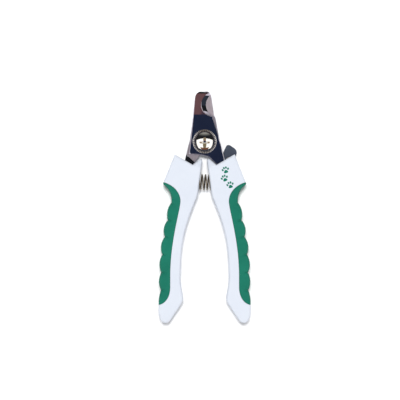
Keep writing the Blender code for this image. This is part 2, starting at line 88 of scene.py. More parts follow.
# Handles
EDGE_R = 1.7              # rounding of the handle's rim
SEAM_R = 0.22             # rounding along the line between grip and shell
SEAM_GAP = 0.1
HORN_SLOPE = 0.42         # fall of the horn's facet per millimetre from its crease
HORN_CREASE = (2.5, -17.8)                    # inner end of the crease; the outer end is the vee
GROOVE_DEPTH = 1.1        # of the grooves in the grips
GROOVE_WIDTH = 0.5
GROOVE_LENGTH = 2.9       # inwards from a valley
SLOT_CLEAR = 0.3          # above and below a blade in its slot

# Blades
BLADE_LEAN = 2.5          # degrees that the rear blade's head is turned about the pivot
REAR_LONGER = 0.24        # added to the length of the rear blade
RIM_BEVEL = 0.34          # round the blade's outer face
INNER_BEVEL = 0.12        # round its inner face
NOTCH_EDGE = (8.7, 23.8, 7.9)                 # centre x, y and radius of the notch on the inner face
NOTCH_CREST = (5.25, 24.15, 7.75)             # the same on the outer face
NOTCH_FLARE = 0.3         # how much wider the chamfer at the crest opens the notch
FRONT_BEND = ((0.479, -0.878), 16.6, 19.8)    # direction of the tang's double bend, its start and its end
REAR_BEND = ((0.680, -0.733), 14.2, 17.6)
TIP_FACET = ((-20.0, 17.4), (20.0, 17.4))     # a facet starts on its line and falls to the left of it
TIP_FACET_SLOPE = math.tan(math.radians(1.6))
TIP_END = ((-20.0, 30.0), (20.0, 30.0))
TIP_END_SLOPE = 0.38
SIDE_FACET = ((3.9, 18.5), (8.95, 3.2))
SIDE_FACET_SLOPE = 0.7
TANG_PINS = ((13.2, -38.0), (16.8, -58.0))
PIN_ROOM_R = 2.3          # room round a tang pin
PIN_ROOM_HALF = 5.3       # its half height

# Pivot
SHANK_R = 3.0
DOME_R = 5.85
HEAD_HEIGHT = 2.9         # of the whole screw head
CAP_RISE = 2.0            # of its domed part
RING_R = 7.7
RING_GROOVES = 40
RING_GROOVE_DEPTH = 0.4

# Spring
SPRING_Y = -26.3
SPRING_R = 4.85           # to the middle of the wire
SPRING_WIRE_R = 0.44
SPRING_TURNS = 7.5
SPRING_HALF = 8.0         # half its length
SPRING_ROOM_R = 5.75      # pocket in each handle
SPRING_ROOM_END = 9.6     # bottom of the pocket, from the middle plane

# Lock
LEVER_HOLE_R = 1.6
LOCK_ROOM_R = 1.8         # room round the lock's pin in the right handle
LOCK_ROOM = (1.7, 12.3)   # its bottom and top
LEVER_SLOT = (3.3, 8.0)   # bottom and top of the lever's slot in the back shell

# Paw prints: centres and turns
PAWS = (((13.5, -18.7), 16.0), ((12.9, -24.0), 22.0), ((16.5, -28.3), 16.0))
PAW_SIZE = 2.7

# Corners of the right handle, and the valleys and bumps of its grip from the top down
SHOULDER = (19.35, -8.3)
FLARE = (26.6, -26.3)
VEE = (7.6, -15.1)
VALLEYS = ((21.4, -39.4), (23.8, -50.8), (25.7, -61.5), (27.3, -73.0), (28.0, -84.5), (28.2, -95.9),
           (29.6, -105.4))
BUMPS = (1.45, 1.6, 1.65, 1.5, 1.35, 0.5)


# ---------------------------------------------------------------- plan curves

def bezier(start, grip_a, grip_b, end, step=CURVE_STEP):
    """Points of a cubic curve after its start, about one step apart."""
    corners = (start, grip_a, grip_b, end)
    length = sum(math.dist(a, b) for a, b in zip(corners, corners[1:]))
    steps = max(4, round((length + math.dist(start, end)) / 2 / step))
    points = []
    for i in range(1, steps + 1):
        t = i / steps
        weights = ((1 - t) ** 3, 3 * t * (1 - t) ** 2, 3 * t * t * (1 - t), t ** 3)
        points.append(tuple(sum(w * p[k] for w, p in zip(weights, corners)) for k in (0, 1)))
    return points


def bowed(start, end, sag):
    """Points of a circular arc after its start, bowed by sag to the left of travel."""
    span = math.dist(start, end)
    steps = round(span / CURVE_STEP)
    radius = (span * span / 4 + sag * sag) / (2 * sag)
    left = (-(end[1] - start[1]) / span, (end[0] - start[0]) / span)
    centre = [(start[k] + end[k]) / 2 + left[k] * (sag - radius) for k in (0, 1)]
    first = math.atan2(start[1] - centre[1], start[0] - centre[0])
    turn = 2 * math.asin(span / 2 / radius)
    return [(centre[0] + radius * math.cos(first - turn * i / steps),
             centre[1] + radius * math.sin(first - turn * i / steps)) for i in range(1, steps + 1)]


def around(centre, radius, first_deg, last_deg, steps=None):
    """Points on a circle from one angle to another, both included."""
    steps = steps or max(4, round(abs(math.radians(last_deg - first_deg)) * radius / CURVE_STEP))
    angles = [math.radians(first_deg + (last_deg - first_deg) * i / steps) for i in range(steps + 1)]
    return [(centre[0] + radius * math.cos(a), centre[1] + radius * math.sin(a)) for a in angles]


def eased(before, corner, after, reach):
    """A corner replaced by a small curve that starts and ends reach away from it."""
    first = [c + (b - c) * reach / math.dist(before, corner) for b, c in zip(before, corner)]
    last = [c + (a - c) * reach / math.dist(after, corner) for a, c in zip(after, corner)]
    return [tuple(first)] + bezier(first, corner, corner, last, 0.25)


def shifted(points, distance):
    """An open line moved sideways, to the left of travel."""
    moved = []
    for i, (x, y) in enumerate(points):
        before = points[max(i - 1, 0)]
        after = points[min(i + 1, len(points) - 1)]
        step = distance / math.dist(before, after)
        moved.append((x - step * (after[1] - before[1]), y + step * (after[0] - before[0])))
    return moved


def divided(outline, step=CURVE_STEP):
    """A closed outline with its long edges split."""
    points = []
    for a, b in zip(outline, outline[1:] + outline[:1]):
        pieces = max(1, round(math.dist(a, b) / step))
        points += [(a[0] + (b[0] - a[0]) * i / pieces, a[1] + (b[1] - a[1]) * i / pieces)
                   for i in range(pieces)]
    return points


def sided(points, side):
    """Plan points drawn for the right, kept there (1) or mirrored to the left (-1)."""
    return [(side * x, y) for x, y in points]


def turned_plan(points, degrees):
    """Plan points rotated about the blade pivot."""
    c = math.cos(math.radians(degrees))
    s = math.sin(math.radians(degrees))
    return [(x * c - y * s, x * s + y * c) for x, y in points]


# ---------------------------------------------------------------- outlines, right-hand side

def grip_outer_edge():
    """The finger side of the handle, from the flare down: a thumb hollow, then a row of bumps."""
    points = [FLARE]
    points += bezier(FLARE, (27.4, -27.6), (25.6, -28.6), (24.6, -29.7))
    points += bezier(points[-1], (22.6, -31.8), (21.4, -34.5), VALLEYS[0])
    for top, bottom, bump in zip(VALLEYS, VALLEYS[1:], BUMPS):
        points += bowed(top, bottom, bump)
    return points


def grip_inner_edge():
    """The line between grip and white shell, from the flare down."""
    points = [FLARE]
    points += bezier(FLARE, (20.5, -28.0), (15.6, -32.5), (15.6, -38.8))
    points += bezier(points[-1], (16.0, -45.5), (22.2, -64), (22.2, -87))
    points += bezier(points[-1], (22.2, -89.0), (22.2, -92.0), (22.2, -94.0))
    points += bezier(points[-1], (22.2, -100.5), (25.5, -104.8), VALLEYS[-1])
    return points


def foot_and_inner_edge():
    """From the bottom of the grip round the foot, up the palm gap to the horn and the vee."""
    points = [VALLEYS[-1]]
    points += bezier(points[-1], (30.1, -110.0), (29.7, -117.1), (25.4, -117.1))
    points += bezier(points[-1], (23.2, -117.1), (22.2, -115.6), (21.4, -114.3))
    points += [(16.2, -106.6)]
    points += bezier(points[-1], (14.2, -103.6), (13.6, -102.6), (14.1, -99.6))
    points += bezier(points[-1], (14.6, -96.5), (15.6, -92), (15.6, -87))
    points += bezier(points[-1], (15.0, -70.0), (15.1, -60.0), (5.1, -36.5))
    points += bezier(points[-1], (4.2, -34.4), (3.9, -31), (3.7, -28.5))
    points += [(1.5, -12.9)]
    points += bezier(points[-1], (1.4, -11.5), (2.3, -10.7), (3.2, -11.3))
    return points


def top_edge():
    """From the vee over the rounded shoulder, short of the flare."""
    return [VEE] + eased(VEE, SHOULDER, FLARE, 0.9)


def handle_silhouette():
    """The whole handle, shell and grip together."""
    return divided(top_edge() + grip_outer_edge() + foot_and_inner_edge()[1:])


def white_outline():
    return divided(top_edge() + grip_inner_edge() + foot_and_inner_edge()[1:])


def grip_outline():
    return grip_outer_edge()[1:-1] + shifted(grip_inner_edge(), SEAM_GAP)[::-1]


def tang_outline():
    """The part of a blade that runs down inside its handle, from the vee round to the blade's edge."""
    return [(10.3, -21.0), (10.3, -35.0), (14.3, -60.0), (14.9, -63.5), (15.6, -64.6), (18.0, -64.6),
            (18.9, -63.4), (18.4, -58.0), (15.6, -42.0), (15.6, -24.0), (13.6, -16.5)]


def blade_head_outline(heel, longer):
    """A blade's head, from its free heel over the tip to the handle side."""
    points = [(heel[0] + 3.7, 28.0)]
    points += bezier(points[-1], (heel[0] + 4.0, 30.6), (-4.6, 32.1), (-2.4, 32.25))
    points += [(1.6, 31.8)]
    points += bezier(points[-1], (3.5, 31.5), (4.1, 30.6), (4.4, 29.0))
    return [heel] + [(x, y + longer) for x, y in points] + [(9.6, 0.8)]


def blade_outline(heel, crook, lean, longer):
    """A whole blade with its tang in the right handle; lean turns the head about the pivot.

    crook is the corner of the edge under the pivot."""
    head = turned_plan(blade_head_outline(heel, longer), lean)
    under = bezier(crook, (crook[0] - 0.9, crook[1] + 2.1), (-1.5, heel[1] - 0.35), head[0])[:-1]
    return head + [(10.6, -2.4), (12.5, -11.0)] + tang_outline()[::-1] + [(7.4, -14.6), crook] + under


def lever_outline():
    """Lock lever seen from the front: thumb tab, hub round the pin, hooked arm behind the front blade."""
    points = [(12.0, -7.0), (14.0, -2.9)]
    points += bezier(points[-1], (14.5, -2.0), (15.8, -1.9), (16.8, -2.6), 0.3)
    points += [(19.2, -4.2)]
    points += bezier(points[-1], (20.8, -5.4), (21.3, -7.2), (20.4, -8.4), 0.3)
    points += around(LOCK, 3.2, -8.0, -135.0)
    points += [(10.6, -15.4), (9.3, -14.2), (9.0, -12.0)]
    points += around((0.0, 0.0), 12.55, -46.0, -40.5)
    points += [(10.5, -8.3), (11.0, -12.6), (11.9, -13.3), (12.9, -12.9), (13.1, -11.6)]
    return divided(points, 0.4)


def lever_slot_outline():
    """Room for the lever's whole swing inside the handle's back shell."""
    points = [(8.7, -8.0), (8.7, -15.0), (9.9, -17.6), (12.2, -18.2)]
    points += around(LOCK, 3.7, 245.0, 352.0)
    points += [(21.2, -8.2), (19.0, 0.0), (11.0, 0.0)]
    return points


# ---------------------------------------------------------------- distances in the plan

def line_distance(points, line, closed):
    """Shortest distance of each plan point from a line of straight pieces."""
    a = np.array(line)
    b = np.roll(a, -1, axis=0)
    if not closed:
        a, b = a[:-1], b[:-1]
    along = b - a
    here = np.array(points)[:, None, :]
    share = np.clip(((here - a) * along).sum(2) / (along ** 2).sum(1), 0.0, 1.0)
    gap = here - (a + share[..., None] * along)
    return np.sqrt((gap ** 2).sum(2)).min(1)


def is_inside(points, outline):
    """Whether each plan point lies inside a closed outline."""
    x, y = np.array(points).T[:, :, None]
    a = np.array(outline)
    b = np.roll(a, -1, axis=0)
    crosses = (a[:, 1] > y) != (b[:, 1] > y)
    rise = np.where(a[:, 1] == b[:, 1], 1.0, b[:, 1] - a[:, 1])
    hit = a[:, 0] + (y - a[:, 1]) / rise * (b[:, 0] - a[:, 0])
    return (crosses & (x < hit)).sum(1) % 2 == 1


def rounded_fall(distance, radius):
    """How far a rounded rim lies below its face, at some distance from the rim."""
    near = radius - np.minimum(distance, radius)
    return radius - np.sqrt(np.maximum(radius * radius - near * near, 0.0))


def signed_area(outline):
    return sum(a[0] * b[1] - b[0] * a[1] for a, b in zip(outline, outline[1:] + outline[:1])) / 2


ROUND_ROWS = [1 - math.cos(math.radians(angle)) for angle in (20, 38, 55, 72, 90)]


def rim_rows(outline, radius, shares=ROUND_ROWS):
    """Plan points in rows that follow an outline, set where its rounding turns by even steps."""
    turn = 1 if signed_area(outline) > 0 else -1
    rows = []
    count = len(outline)
    for i, (x, y) in enumerate(outline):
        before = outline[i - 1]
        after = outline[(i + 1) % count]
        span = math.dist(before, after)
        inward = (-(after[1] - before[1]) / span * turn, (after[0] - before[0]) / span * turn)
        rows += [(x + inward[0] * radius * share, y + inward[1] * radius * share, radius * share)
                 for share in shares]
    return rows


def grid_rows(outline, spacing, clear):
    """Plan points of an even triangular grid, each with the distance that it keeps from the rim."""
    xs, ys = zip(*outline)
    rows = []
    for j in range(int((max(ys) - min(ys)) / spacing) + 1):
        shift = spacing / 2 * (j % 2)
        rows += [(min(xs) + shift + i * spacing, min(ys) + j * spacing, clear)
                 for i in range(int((max(xs) - min(xs)) / spacing) + 1)]
    return rows


# ---------------------------------------------------------------- solids

def finish(bm, name, sharp_deg=35.0):
    """Turn a bmesh into a smooth-shaded object, still in plan millimetres."""
    bmesh.ops.recalc_face_normals(bm, faces=bm.faces)
    mesh = bpy.data.meshes.new(name)
    bm.to_mesh(mesh)
    bm.free()
    mesh.shade_smooth()
    mesh.set_sharp_from_angle(angle=math.radians(sharp_deg))
    made = bpy.data.objects.new(name, mesh)
    bpy.context.scene.collection.objects.link(made)
    return made


def slab(outline, rows, reference, top, bottom):
    """Closed solid over a plan outline. rows are inner plan points with the distance that each keeps
    from the reference outline; top and bottom give heights for an array of plan points."""
    if signed_area(outline) < 0:
        outline = outline[::-1]
    plan = np.array([row[:2] for row in rows])
    clear = np.array([row[2] for row in rows])
    keep = is_inside(plan, outline)      # and not too near to the outline for even triangles
    keep &= line_distance(plan, reference, True) > 0.93 * clear
    keep &= line_distance(plan, outline, True) > np.minimum(0.9 * clear, 0.09)
    count = len(outline)
    inner = [Vector(p) for p in plan[keep]]
    given = [Vector(p) for p in outline] + inner
    found = delaunay_2d_cdt(given, [], [list(range(count))], 1, 1e-5)
    places = np.array([tuple(p) for p in found[0]])
    rank = {source: new for new, sources in enumerate(found[3]) for source in sources}
    bm = bmesh.new()
    upper = [bm.verts.new((x, y, z)) for (x, y), z in zip(places, top(places))]
    lower = [bm.verts.new((x, y, z)) for (x, y), z in zip(places, bottom(places))]
    for corners in found[2]:
        bm.faces.new([upper[i] for i in corners])
        bm.faces.new([lower[i] for i in reversed(corners)])
    for i in range(count):
        a = rank[i]
        b = rank[(i + 1) % count]
        bm.faces.new([lower[a], lower[b], upper[b], upper[a]])
    return bm


def loft(bm, rings):
    """Join a stack of equal rings of vertices into a closed solid."""
    bm.faces.new(rings[0])
    bm.faces.new(rings[-1])
    for one, other in zip(rings, rings[1:]):
        for i in range(len(one)):
            j = (i + 1) % len(one)
            bm.faces.new([one[i], one[j], other[j], other[i]])


def prism(outline, low, high):
    """Straight cutter over any outline."""
    bm = bmesh.new()
    floor = bm.faces.new([bm.verts.new((x, y, low)) for x, y in outline])
    roof = bmesh.ops.extrude_face_region(bm, geom=[floor])["geom"]
    for item in roof:
        if isinstance(item, bmesh.types.BMVert):
            item.co.z = high
    return finish(bm, "cutter")


def rod(centre, radius, low, high, sides=40):
    """Round cutter."""
    return prism(around(centre, radius, 0.0, 360.0, sides)[:-1], low, high)


def revolve(profile, steps, lift=None):
    """Turn a closed (radius, height) profile about +Z; a zero radius becomes a pole."""
    bm = bmesh.new()
    rows = []
    for index, (radius, height) in enumerate(profile):
        if radius == 0.0:
            rows.append([bm.verts.new((0.0, 0.0, height))])
            continue
        row = []
        for step in range(steps):
            angle = 2 * math.pi * step / steps
            extra = lift(angle, index) if lift else 0.0
            row.append(bm.verts.new((radius * math.cos(angle), radius * math.sin(angle), height + extra)))
        rows.append(row)
    for one, other in zip(rows, rows[1:] + rows[:1]):
        for step in range(steps):
            ahead = (step + 1) % steps
            corners = [one[step % len(one)], one[ahead % len(one)],
                       other[ahead % len(other)], other[step % len(other)]]
            corners = list(dict.fromkeys(corners))
            if len(corners) > 2:
                bm.faces.new(corners)
    return bm


def carve(piece, cutters, sharp_deg=35.0):
    """Subtract the cutters from a piece for good, and delete them."""
    for cutter in cutters:
        step = piece.modifiers.new("cut", "BOOLEAN")
        step.operation = "DIFFERENCE"
        step.solver = "EXACT"
        step.object = cutter
    bpy.context.view_layer.update()
    solved = piece.evaluated_get(bpy.context.evaluated_depsgraph_get())
    mesh = bpy.data.meshes.new_from_object(solved)
    piece.modifiers.clear()
    piece.data = mesh
    mesh.name = piece.name
    mesh.materials.clear()
    for cutter in cutters:
        bpy.data.objects.remove(cutter, do_unlink=True)
    mesh.shade_smooth()
    mesh.set_sharp_from_angle(angle=math.radians(sharp_deg))


def into_frame(piece):
    """Carry a piece's mesh from plan millimetres to the CAD frame."""
    piece.data.transform(Matrix.Translation((PIVOT.x, PIVOT.y, 0.0)) @ Matrix.Scale(MM, 4))


def settle(piece, body, slot, material, *nodes):
    """Put a piece in the frame with its material and body, and hide the CAD nodes that it stands for. The
    slot argument is not used.
    """
    into_frame(piece)
    piece.data.materials.append(material)
    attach(piece, body)
    if nodes:
        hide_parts(*nodes)


# ---------------------------------------------------------------- materials

def mix_colours(tree, factor, one, other):
    """Mix of two colours or colour outputs in a node tree."""
    node = tree.nodes.new("ShaderNodeMix")
    node.data_type = "RGBA"
    tree.links.new(factor, node.inputs["Factor"])
    for socket, value in ((node.inputs[6], one), (node.inputs[7], other)):
        if isinstance(value, tuple):
            socket.default_value = (*value, 1.0)
        else:
            tree.links.new(value, socket)
    return node.outputs[2]


class Surface:
    """A Principled material with helpers for procedural detail in the piece's own coordinates."""

    def __init__(self, name, roughness, metallic=0.0):
        self.material = bpy.data.materials.new(name)
        self.material.use_nodes = True
        self.nodes = self.material.node_tree.nodes
        self.links = self.material.node_tree.links
        self.shader = self.nodes["Principled BSDF"]
        self.shader.inputs["Metallic"].default_value = metallic
        self.shader.inputs["Roughness"].default_value = roughness
        self.place = self.nodes.new("ShaderNodeTexCoord").outputs["Object"]

    def link(self, source, target):
        self.links.new(source, target)

    def noise(self, feature_mm, detail=3.0, stretch=(1.0, 1.0, 1.0)):
        """Noise with features of about the given size; stretch lengthens them along an axis."""
        mapping = self.nodes.new("ShaderNodeMapping")
        mapping.inputs["Scale"].default_value = [1.0 / (feature_mm * MM * s) for s in stretch]
        self.link(self.place, mapping.inputs["Vector"])
        texture = self.nodes.new("ShaderNodeTexNoise")
        texture.inputs["Scale"].default_value = 1.0
        texture.inputs["Detail"].default_value = detail
        self.link(mapping.outputs["Vector"], texture.inputs["Vector"])
        return texture.outputs["Fac"]

    def spread(self, source, low, high, source_low=0.3, source_high=0.7):
        """A factor carried to another range."""
        node = self.nodes.new("ShaderNodeMapRange")
        node.inputs["From Min"].default_value = source_low
        node.inputs["From Max"].default_value = source_high
        node.inputs["To Min"].default_value = low
        node.inputs["To Max"].default_value = high
        self.link(source, node.inputs["Value"])
        return node.outputs["Result"]

    def mix(self, factor, one, other):
        """Mix of two colours or colour outputs."""
        return mix_colours(self.material.node_tree, factor, one, other)

    def colour(self, source):
        self.link(source, self.shader.inputs["Base Color"])

    def rough(self, source):
        self.link(source, self.shader.inputs["Roughness"])

    def bump(self, source, height_mm, strength):
        node = self.nodes.new("ShaderNodeBump")
        node.inputs["Strength"].default_value = strength
        node.inputs["Distance"].default_value = height_mm * MM
        self.link(source, node.inputs["Height"])
        self.link(node.outputs["Normal"], self.shader.inputs["Normal"])

    def edges(self, low=0.52, high=0.62):
        """Near 1 on convex edges, where the materials mix in a lighter colour as a painted edge highlight.
        """
        pointiness = self.nodes.new("ShaderNodeNewGeometry").outputs["Pointiness"]
        return self.spread(pointiness, 0.0, 1.0, low, high)


def white_plastic():
    made = Surface("white_plastic", 0.3)
    cloud = made.spread(made.noise(14.0), 0.0, 1.0)
    body = made.mix(cloud, (0.625, 0.666, 0.738), (0.645, 0.684, 0.750))
    # Lighter, bluer colour on convex edges: a painted highlight along the handle's rims.
    made.colour(made.mix(made.edges(), body, (0.66, 0.70, 0.76)))
    made.rough(made.spread(made.noise(0.9, 5.0), 0.27, 0.40))
    made.bump(made.noise(0.35, 2.0), 0.008, 0.5)
    made.shader.inputs["Specular IOR Level"].default_value = 0.5
    return made.material


def green_rubber(name="green_rubber", printed=False):
    made = Surface(name, 0.62)
    cloud = made.spread(made.noise(9.0), 0.0, 1.0)
    body = made.mix(cloud, (0.0065, 0.141, 0.093), (0.0090, 0.166, 0.110))
    # Lighter green on convex edges: a painted sheen along the grip's rims and seam.
    made.colour(made.mix(made.edges(0.53, 0.66), body, (0.016, 0.20, 0.13)))
    made.rough(made.spread(made.noise(0.6, 4.0), 0.52, 0.72))
    if not printed:
        made.bump(made.noise(0.22, 3.0), 0.035, 0.7)
    made.shader.inputs["Specular IOR Level"].default_value = 0.3
    return made.material


def steel(name, colour, roughness, scratch_mm, across=(1.0, 12.0, 1.0), bump=0.004):
    """Steel with slight smears and fine lines, along Y unless across says otherwise."""
    made = Surface(name, roughness[0], 1.0)
    smear = made.spread(made.noise(6.0, 4.0), 0.0, 1.0)
    darker = tuple(c * 0.93 for c in colour)
    made.colour(made.mix(smear, darker, colour))
    lines = made.noise(scratch_mm, 4.0, across)
    made.rough(made.spread(lines, *roughness))
    made.bump(lines, bump, 0.5)
    return made.material


def ground_steel():
    """Satin ground steel with fine lines along Y, with painted shade: darker towards the heels, brighter
    towards the blade tips.
    """
    made = Surface("ground_steel", 0.37, 1.0)
    split = made.nodes.new("ShaderNodeSeparateXYZ")
    made.link(made.place, split.inputs["Vector"])
    # Painted shade: the colour runs from dark at the heels to light at the tips.
    painted_light_towards_tip = made.spread(split.outputs["Y"], 0.0, 1.0, PIVOT.y - 5 * MM, PIVOT.y + 18 * MM)
    made.colour(made.mix(painted_light_towards_tip, (0.60, 0.56, 0.65), (0.83, 0.77, 0.88)))
    lines = made.noise(0.12, 4.0, (1.0, 12.0, 1.0))
    made.rough(made.spread(lines, 0.30, 0.44))
    made.bump(lines, 0.01, 0.5)
    return made.material


def dark_satin():
    made = Surface("dark_satin", 0.42)
    cloud = made.spread(made.noise(3.0, 4.0), 0.0, 1.0)
    body = made.mix(cloud, (0.035, 0.044, 0.066), (0.046, 0.057, 0.083))
    # Much lighter grey on convex edges: a painted highlight along the lever's rim.
    made.colour(made.mix(made.edges(), body, (0.13, 0.14, 0.17)))
    made.rough(made.spread(made.noise(0.5, 4.0), 0.36, 0.52))
    made.bump(made.noise(0.2, 3.0), 0.01, 0.6)
    return made.material


def spring_steel():
    made = Surface("spring_steel", 0.25, 1.0)
    cloud = made.spread(made.noise(1.2, 4.0), 0.0, 1.0)
    made.colour(made.mix(cloud, (0.25, 0.20, 0.14), (0.50, 0.44, 0.35)))
    made.rough(made.spread(made.noise(0.4, 4.0), 0.22, 0.42))
    made.bump(made.noise(0.15, 3.0), 0.01, 0.5)
    return made.material


WHITE = white_plastic()
GREEN = green_rubber()
PRINT = green_rubber("printed_green", printed=True)
POLISHED = steel("polished_steel", (0.64, 0.66, 0.71), (0.035, 0.07), 0.25)
GROUND = ground_steel()
EVEN = (1.0, 1.0, 1.0)
DOME = steel("dome_chrome", (0.93, 0.91, 0.87), (0.03, 0.07), 0.5, EVEN, 0.001)
RING = steel("ring_steel", (0.78, 0.76, 0.76), (0.16, 0.30), 0.3, EVEN)
# Near-black steel for the floors of the ring's grooves and trench: painted shade in the recesses.
PAINTED_GROOVE_SHADE = steel("painted_groove_shade", (0.055, 0.055, 0.085), (0.30, 0.45), 0.3, EVEN)
FASTENER = steel("fastener_steel", (0.52, 0.50, 0.48), (0.28, 0.46), 0.15, (1.0, 6.0, 1.0), 0.008)
SLATE = dark_satin()
WIRE = spring_steel()


# ---------------------------------------------------------------- handles

def horn_fall(places):
    """How far the horn's sloping facet lies below the face."""
    along = Vector((VEE[0] - HORN_CREASE[0], VEE[1] - HORN_CREASE[1])).normalized()
    reach = (places - np.array(HORN_CREASE)) @ np.array((-along.y, along.x))
    near_horn = places[:, 0] < VEE[0] + 0.6
    return np.where(near_horn, np.maximum(reach, 0.0) * HORN_SLOPE, 0.0)


def groove_lines():
    """Short grooves that run from each scallop's valley onto the face, and two beside the thumb hollow."""
    lines = [((19.9, -36.9), (21.9, -36.3)), ((20.4, -40.9), (21.9, -40.0))]
    for before, valley, after in zip(VALLEYS, VALLEYS[1:], VALLEYS[2:]):
        run = Vector((after[0] - before[0], after[1] - before[1])).normalized()
        inward = Vector((run.y, -run.x))
        inner = (valley[0] + inward.x * GROOVE_LENGTH, valley[1] + inward.y * GROOVE_LENGTH)
        lines.append((inner, valley))
    return lines


def groove_fall(places):
    """Depth of the grip's grooves, tapered towards their inner ends."""
    fall = np.zeros(len(places))
    for inner, outer in groove_lines():
        along = np.array(outer) - np.array(inner)
        share = np.clip(((places - np.array(inner)) @ along) / (along @ along), 0.0, 1.0)
        gap = np.linalg.norm(places - (np.array(inner) + share[:, None] * along), axis=1)
        depth = GROOVE_DEPTH * (0.35 + 0.65 * share)
        fall = np.maximum(fall, depth * np.exp(-(gap / GROOVE_WIDTH) ** 2))
    return fall


def handle_face(places, face_z, extra_fall):
    """Height of a handle's front face: rounded to the silhouette, with a fine seam beside the grip."""
    rim = rounded_fall(line_distance(places, SILHOUETTE, True), EDGE_R)
    seam = rounded_fall(line_distance(places, grip_inner_edge(), False), SEAM_R)
    return face_z - rim - seam - extra_fall(places)


def crease_row():
    """Points along the crease at the horn's facet."""
    count = 14
    return [(HORN_CREASE[0] + (VEE[0] - HORN_CREASE[0]) * i / count,
             HORN_CREASE[1] + (VEE[1] - HORN_CREASE[1]) * i / count, 0.02) for i in range(count + 1)]


def seam_rows(distance):
    """Points beside the line between grip and shell."""
    return [(x, y, 0.02) for x, y in shifted(grip_inner_edge(), distance)]


def white_shell_mesh():
    """Front shell of the right handle, down to the line between the shells."""
    rows = rim_rows(SILHOUETTE, EDGE_R) + crease_row() + seam_rows(-SEAM_R) + seam_rows(-SEAM_R / 3)
    rows += grid_rows(white_outline(), 1.5, EDGE_R + 0.5)
    split = MID_Z + SPLIT
    return slab(white_outline(), rows, SILHOUETTE, lambda p: handle_face(p, FACE_Z, horn_fall),
                lambda p: np.full(len(p), split) + rounded_fall(line_distance(p, SILHOUETTE, True), SPLIT_R))


def grip_mesh():
    """Soft grip of the right handle, the same on both faces."""
    rows = rim_rows(SILHOUETTE, EDGE_R) + seam_rows(SEAM_R) + seam_rows(SEAM_R / 2 + 0.08)
    rows += grid_rows(grip_outline(), 0.5, 0.35)
    return slab(grip_outline(), rows, SILHOUETTE, lambda p: handle_face(p, FACE_Z, groove_fall),
                lambda p: TOP_Z - handle_face(p, FACE_Z, groove_fall))


def mirrored(bm, across_x, across_z):
    """A copy of a bmesh, mirrored to the left and or to the back."""
    copy = bm.copy()
    for vert in copy.verts:
        if across_x:
            vert.co.x = -vert.co.x
        if across_z:
            vert.co.z = TOP_Z - vert.co.z
    return copy


def spring_room_cutter(side):
    """Round pocket for one end of the spring."""
    bm = bmesh.new()
    circle = around((SPRING_Y, MID_Z), SPRING_ROOM_R, 0.0, 360.0, 48)[:-1]
    loft(bm, [[bm.verts.new((x, y, z)) for y, z in circle] for x in (-side * 0.5, side * SPRING_ROOM_END)])
    return finish(bm, "cutter")


def handle_cutters(side):
    """What both shells of one handle are hollowed by."""
    neck = [(7.2, -14.9), (8.0, -9.0)]
    head = [(11.6, -5.0), (12.4, -11.4)]
    room = head + shifted(tang_outline()[::-1], 0.35) + neck
    mouth = head + [(14.6, -17.4), (11.5, -20.1), (8.9, -19.1)] + neck
    head_z = FRONT_BLADE_Z if side > 0 else REAR_BLADE_Z
    above = BLADE_THICKNESS + SLOT_CLEAR
    cutters = [prism(sided(room, side), TANG_Z - SLOT_CLEAR, TANG_Z + above),
               prism(sided(mouth, side), min(TANG_Z, head_z) - SLOT_CLEAR, max(TANG_Z, head_z) + above),
               spring_room_cutter(side)]
    for x, y in TANG_PINS:
        cutters.append(rod((side * x, y), PIN_ROOM_R, MID_Z - PIN_ROOM_HALF, MID_Z + PIN_ROOM_HALF))
    return cutters


def make_handles():
    """Both handles: front and back shell and grip."""
    shell = white_shell_mesh()
    grip = grip_mesh()
    for word, side in (("left", -1), ("right", 1)):
        for face in ("front", "back"):
            made = finish(mirrored(shell, side < 0, face == "back"), f"{word}_{face}_shell_visual")
            cutters = handle_cutters(side)
            if side > 0:
                cutters.append(rod(LOCK, LOCK_ROOM_R, *LOCK_ROOM))
            if side > 0 and face == "back":
                cutters.append(prism(lever_slot_outline(), *LEVER_SLOT))
            carve(made, cutters)
            settle(made, f"{word}_half", "handle_white", WHITE, f"{word}_{face}_shell")
        made = finish(mirrored(grip, side < 0, False), f"{word}_grip_visual", sharp_deg=50.0)
        settle(made, f"{word}_half", "grip_green", GREEN, f"{word}_grip")
    shell.free()
    grip.free()


# ---------------------------------------------------------------- blades

def bend_tang(bm, side, drop):
    """Joggle the tang to the handle's middle plane between two sharp bends."""
    direction, start, end = FRONT_BEND if side > 0 else REAR_BEND
    normal = Vector((side * direction[0], direction[1], 0.0)).normalized()
    for reach in (start, end):
        bmesh.ops.bisect_plane(bm, geom=bm.verts[:] + bm.edges[:] + bm.faces[:],
                               plane_co=normal * reach, plane_no=normal)
    for vert in bm.verts:
        share = (vert.co.x * normal.x + vert.co.y * normal.y - start) / (end - start)
        vert.co.z += drop * min(max(share, 0.0), 1.0)


def notch_circle(share):
    """Centre x, y and radius of the notch at a share of the way from its edge to its crest."""
    return [a + (b - a) * share for a, b in zip(NOTCH_EDGE, NOTCH_CREST)]


def notch_cutter(side, lean, outer_z, inner_z):
    """Slanting cone for the notch, opened wider at the crest by a fine chamfer."""
    crest = notch_circle(1.0)
    crest[2] += NOTCH_FLARE
    foot = notch_circle(0.9)
    flared = [2 * a - b for a, b in zip(crest, foot)]
    depth = outer_z - inner_z
    bm = bmesh.new()
    rings = []
    for (cx, cy, radius), share in ((notch_circle(-0.2), -0.2), (foot, 0.9), (flared, 1.1)):
        outline = turned_plan(around((cx, cy), radius, 0.0, 360.0, 160)[:-1], lean)
        rings.append([bm.verts.new((side * x, y, inner_z + share * depth)) for x, y in outline])
    loft(bm, rings)
    return finish(bm, "cutter")


